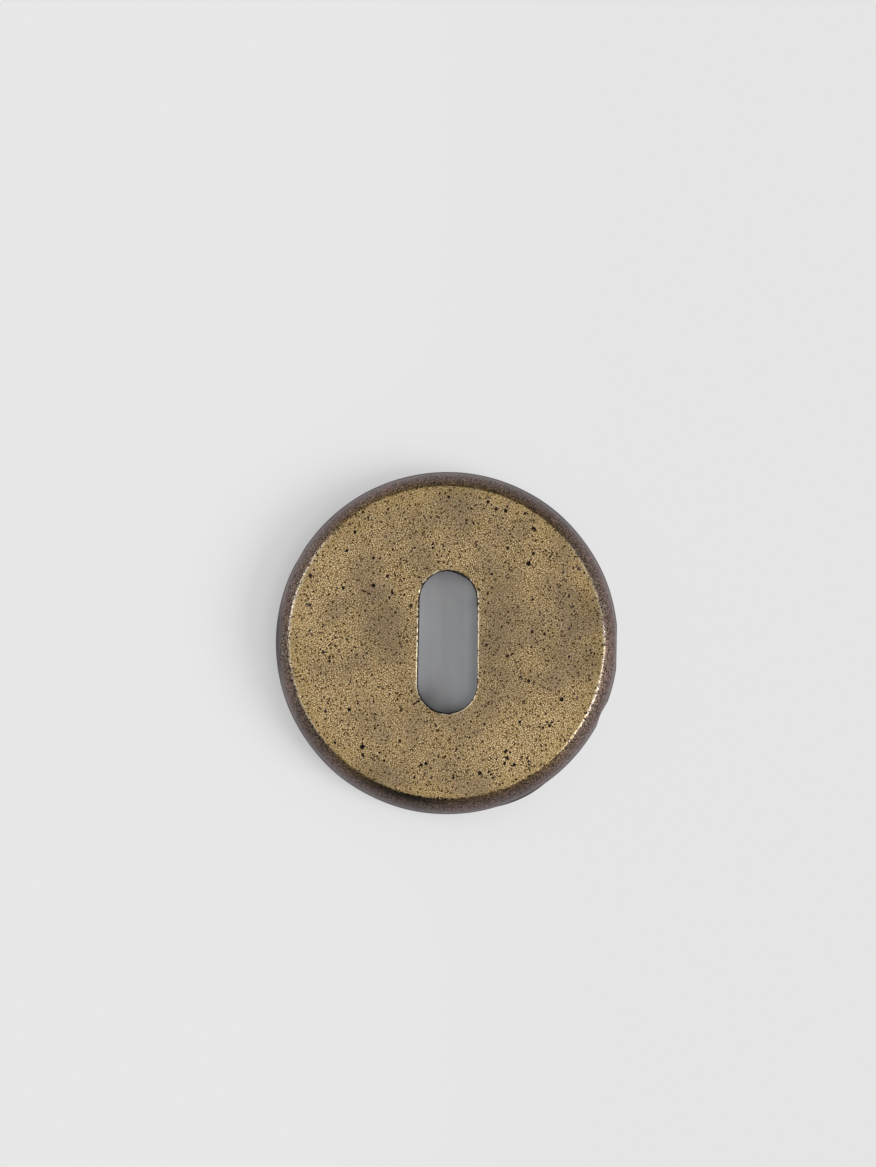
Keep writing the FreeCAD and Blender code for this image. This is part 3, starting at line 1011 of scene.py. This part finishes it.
ground_relief = (light_grains - dark_grains + fine_noise) * grain_depth
cast_relief = (coarse_grain + fine_noise * 0.5) * cast_depth
relief = ground_relief * flat_face + cast_relief * (1.0 - flat_face)
relief = relief - speckle * speck_depth - scratched * scratch_depth
dents = bronze.node("ShaderNodeBump", {}, {"Strength": 1.0, "Distance": MM, "Height": relief})
bronze.shown_by(
    bronze.node(
        "ShaderNodeBsdfPrincipled",
        {},
        {
            "Base Color": colour,
            "Roughness": roughness,
            "Metallic": metal,
            "Coat Weight": glaze,
            "Coat Roughness": 0.35,
            "Normal": dents,
        },
    )
)

escutcheon = finished_piece("escutcheon_plate", plate)
escutcheon.data.materials.append(bronze_material)
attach(escutcheon, "root")
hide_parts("escutcheon")


# The floor is a plain pale sheet under the plate. The photograph lightens the open floor, more on
# the right than on the left, but not the floor in the keyhole, so outside the plate the sheet
# shows the camera a share of plain white.

FLOOR_WHITE = (0.80, 0.80, 0.80, 1.0)
FLOOR_SHADED = (0.785, 0.80, 0.825, 1.0)  # a little cooler in the keyhole, away from the lamps
lightened_left = 0.45
lightened_right = 0.96
less_lightened = 0.17  # close to the plate on the left
floor_shown = 0.783
floor_half_width = 3.0  # in metres
floor_drop = 0.02  # keeps the floor just clear of the back, which lies in one plane with it
edge_dimmer = 0.31  # how much dimmer the sheet looks close under the keyhole's edge
middle_lighter = 0.17  # how much lighter it looks along the keyhole's middle
# Where the sheet in the keyhole is dimmer, as a place, a reach and by how much.
KEYHOLE_SHADES = [
    ((-5.0, -1.0), 5.0, 0.10),
    ((-0.3, -6.5), 4.5, -0.10),
    ((2.6, -4.5), 4.0, 0.06),
    ((-4.0, -10.0), 4.0, 0.26),
    ((0.5, 8.5), 5.0, -0.24),
    ((3.2, 8.5), 3.0, -0.42),
    ((2.2, 0.5), 5.0, 0.08),
    ((0.3, -11.3), 3.4, 0.50),
]

floor_shape = bmesh.new()
bmesh.ops.create_grid(floor_shape, x_segments=1, y_segments=1, size=floor_half_width)
floor_mesh = bpy.data.meshes.new("floor")
floor_shape.to_mesh(floor_mesh)
floor_shape.free()
floor = bpy.data.objects.new("floor", floor_mesh)
bpy.context.scene.collection.objects.link(floor)

sheet_material = bpy.data.materials.new("pale_sheet")
sheet = Finish(sheet_material)
floor_spot = sheet.place()
from_middle = sheet.vector("LENGTH", floor_spot, (0.0, 0.0, 0.0), 1)
open_floor = sheet.between(from_middle, foot_radius - 1.5, foot_radius - 1.0)
floor_x = sheet.part_of(floor_spot, "X")
to_right = sheet.between(floor_x, -foot_radius, foot_radius)
lightened = lightened_left + to_right * (lightened_right - lightened_left)
beside_plate = sheet.between(from_middle, foot_radius + 3.0, foot_radius) * (1.0 - to_right)
lightened = lightened - beside_plate * less_lightened
ray = sheet.node("ShaderNodeLightPath", {}, {}, "Is Camera Ray")
seen = ray + sheet.also(ray, "Is Glossy Ray") + sheet.also(ray, "Is Transmission Ray")
# The dimming reaches further in on the right, under the wall that faces away from the light.
rightward_spot = sheet.vector("ADD", floor_spot, (0.6, 0.0, 0.0))
from_line = from_keyhole(sheet, rightward_spot)
under_edge = sheet.between(from_line, keyhole_upper_radius - 1.05, keyhole_upper_radius + 0.55)
along_middle = sheet.between(floor_x, -2.8, -0.9) * sheet.between(floor_x, 2.4, 0.5)
shading = under_edge * edge_dimmer - along_middle * middle_lighter
dimness = 1.0 - shading * (1.0 - open_floor)
for (x, y), reach, change in KEYHOLE_SHADES:
    dimness = dimness - sheet.near(floor_spot, (x, y, 0.0), reach) * change
paper_colour = sheet.toned(sheet.blend(open_floor, FLOOR_SHADED, FLOOR_WHITE), dimness)
paper = sheet.node("ShaderNodeBsdfDiffuse", {}, {"Color": paper_colour})
white = sheet.node("ShaderNodeEmission", {}, {"Strength": floor_shown})
share = open_floor * seen * lightened
mixed = sheet.node("ShaderNodeMixShader", {}, {"Fac": share, "Shader": paper, "Shader_001": white})
sheet.shown_by(mixed)
floor.data.materials.append(sheet_material)
floor.location.z = -floor_drop * MM


# The light: a large soft lamp from the right, a weaker one from the left, and a pale room, so that
# the plate's rim shows its round shoulder all the way round.

bpy.context.scene.view_settings.view_transform = "Standard"


def soft_lamp(name, azimuth, elevation, spread, strength):
    lamp = bpy.data.lights.new(name, "SUN")
    lamp.energy = strength
    lamp.angle = math.radians(spread)
    carrier = bpy.data.objects.new(name, lamp)
    carrier.rotation_euler = (0, math.radians(90 - elevation), math.radians(azimuth))
    bpy.context.scene.collection.objects.link(carrier)
    return carrier


soft_lamp("right_lamp", azimuth=-20, elevation=41, spread=30, strength=1.45)
soft_lamp("left_lamp", azimuth=158, elevation=46, spread=26, strength=0.7)

# The room is pale above and beside the plate, along the line of the lamps, and dark before and behind it.
room_pale = 0.70
room_dark = 0.16
room_uneven = 0.07
dark_way = outwards(70)
room_white = (1.0, 1.0, 1.0, 1.0)

room = bpy.data.worlds.new("room")
bpy.context.scene.world = room
air = Finish(room)
looking = air.node("ShaderNodeTexCoord", {}, {}, "Generated")
towards_dark = air.vector("DOT_PRODUCT", looking, dark_way, 1)
strength = room_pale - towards_dark * towards_dark * (room_pale - room_dark)
strength = strength - towards_dark * room_uneven
glow = air.node("ShaderNodeBackground", {}, {"Color": room_white, "Strength": strength})
air.node("ShaderNodeOutputWorld", {}, {"Surface": glow})


# The camera looks straight down from far above, with the door's up direction towards the top of
# the picture.

picture_width = 127.8 * MM
aside = -1.25 * MM  # the picture's middle is a little off the plate's
above = 8.62 * MM
camera_distance = 1.6
camera = bpy.data.cameras.new("camera")
camera.sensor_fit = "HORIZONTAL"
camera.sensor_width = 36.0
camera.lens = camera.sensor_width * camera_distance / picture_width
camera.clip_end = 10.0
viewer = bpy.data.objects.new("camera", camera)
viewer.location = (aside, above, camera_distance)
bpy.context.scene.collection.objects.link(viewer)
bpy.context.scene.camera = viewer
